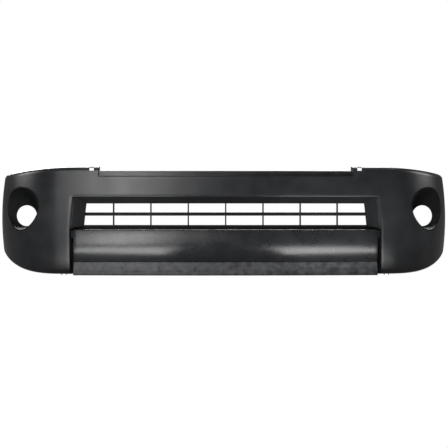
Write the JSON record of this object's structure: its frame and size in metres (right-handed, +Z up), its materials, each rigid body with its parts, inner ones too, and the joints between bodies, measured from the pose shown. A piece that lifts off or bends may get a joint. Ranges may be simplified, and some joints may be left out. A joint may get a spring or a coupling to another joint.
{
  "type": "bumper cover",
  "caption": "Front bumper cover with raised end pods, a slot grille, a lower lip panel, an air dam and empty scooped fog-lamp bezels, with its retainers, stays and fasteners.",
  "frame": {"origin": "centre of the top face of the upper seat, the ledge between the end pods on which the upper body panel lands", "axes": "+X across the vehicle towards the right of a viewer who faces the cover, +Y rearwards into the vehicle so that the outer face looks along -Y, +Z up"},
  "size_m": [1.7648, 0.5171, 0.417],
  "materials": {
    "grained_plastic": "moulded-in charcoal black, fine leather grain, satin sheen",
    "smooth_plastic": "moulded-in black, finer grain, satin",
    "dam_plastic": "flexible dark grey elastomer, matte",
    "black_insert": "plain black, matte",
    "nylon": "black nylon, semi-matte",
    "pin_nylon": "black nylon, semi-matte",
    "coated_steel": "black cathodic paint on pressed steel",
    "zinc_steel": "zinc plated"
  },
  "bodies": {
    "cover": {"bumper_skin": "grained_plastic", "lower_lip_panel": "smooth_plastic", "air_dam": "dam_plastic", "slot_grille": "black_insert", "grille_bar": "black_insert", "grille_fin_1": "black_insert", "grille_fin_2": "black_insert", "grille_fin_3": "black_insert", "grille_fin_4": "black_insert", "grille_fin_5": "black_insert", "grille_fin_6": "black_insert", "grille_fin_7": "black_insert", "fog_bezel_right": "black_insert", "fog_bezel_left": "black_insert", "side_retainer_right": "nylon", "side_retainer_left": "nylon", "upper_retainer_right": "coated_steel", "upper_retainer_left": "coated_steel", "lower_stay_right": "coated_steel", "lower_stay_left": "coated_steel", "dam_rivet_1_right": "nylon", "dam_rivet_1_left": "nylon", "dam_rivet_2_right": "nylon", "dam_rivet_2_left": "nylon", "dam_rivet_3_right": "nylon", "dam_rivet_3_left": "nylon", "retainer_screw_1_right": "zinc_steel", "retainer_screw_1_left": "zinc_steel", "retainer_screw_2_right": "zinc_steel", "retainer_screw_2_left": "zinc_steel", "bezel_screw_1_right": "zinc_steel", "bezel_screw_1_left": "zinc_steel", "bezel_screw_2_right": "zinc_steel", "bezel_screw_2_left": "zinc_steel", "bezel_screw_3_right": "zinc_steel", "bezel_screw_3_left": "zinc_steel", "grille_screw_1_right": "zinc_steel", "grille_screw_1_left": "zinc_steel", "grille_screw_2_right": "zinc_steel", "grille_screw_2_left": "zinc_steel", "grille_screw_3_right": "zinc_steel", "grille_screw_3_left": "zinc_steel", "lip_screw_1_right": "zinc_steel", "lip_screw_1_left": "zinc_steel", "lip_screw_2_right": "zinc_steel", "lip_screw_2_left": "zinc_steel", "stay_screw_1_right": "zinc_steel", "stay_screw_1_left": "zinc_steel", "stay_screw_2_right": "zinc_steel", "stay_screw_2_left": "zinc_steel"},
    "dam_rivet_pin_1_right": {"dam_rivet_pin_1_right": "pin_nylon"},
    "dam_rivet_pin_1_left": {"dam_rivet_pin_1_left": "pin_nylon"},
    "dam_rivet_pin_2_right": {"dam_rivet_pin_2_right": "pin_nylon"},
    "dam_rivet_pin_2_left": {"dam_rivet_pin_2_left": "pin_nylon"},
    "dam_rivet_pin_3_right": {"dam_rivet_pin_3_right": "pin_nylon"},
    "dam_rivet_pin_3_left": {"dam_rivet_pin_3_left": "pin_nylon"}
  },
  "joints": [
    {"name": "dam_rivet_pin_1_right_pull", "type": "slide", "parent": "cover", "child": "dam_rivet_pin_1_right", "axis": [0, 0, -1], "range_m": [0, 0.006]},
    {"name": "dam_rivet_pin_1_left_pull", "type": "slide", "parent": "cover", "child": "dam_rivet_pin_1_left", "axis": [0, 0, -1], "range_m": [0, 0.006]},
    {"name": "dam_rivet_pin_2_right_pull", "type": "slide", "parent": "cover", "child": "dam_rivet_pin_2_right", "axis": [0, 0, -1], "range_m": [0, 0.006]},
    {"name": "dam_rivet_pin_2_left_pull", "type": "slide", "parent": "cover", "child": "dam_rivet_pin_2_left", "axis": [0, 0, -1], "range_m": [0, 0.006]},
    {"name": "dam_rivet_pin_3_right_pull", "type": "slide", "parent": "cover", "child": "dam_rivet_pin_3_right", "axis": [0, 0, -1], "range_m": [0, 0.006]},
    {"name": "dam_rivet_pin_3_left_pull", "type": "slide", "parent": "cover", "child": "dam_rivet_pin_3_left", "axis": [0, 0, -1], "range_m": [0, 0.006]}
  ]
}
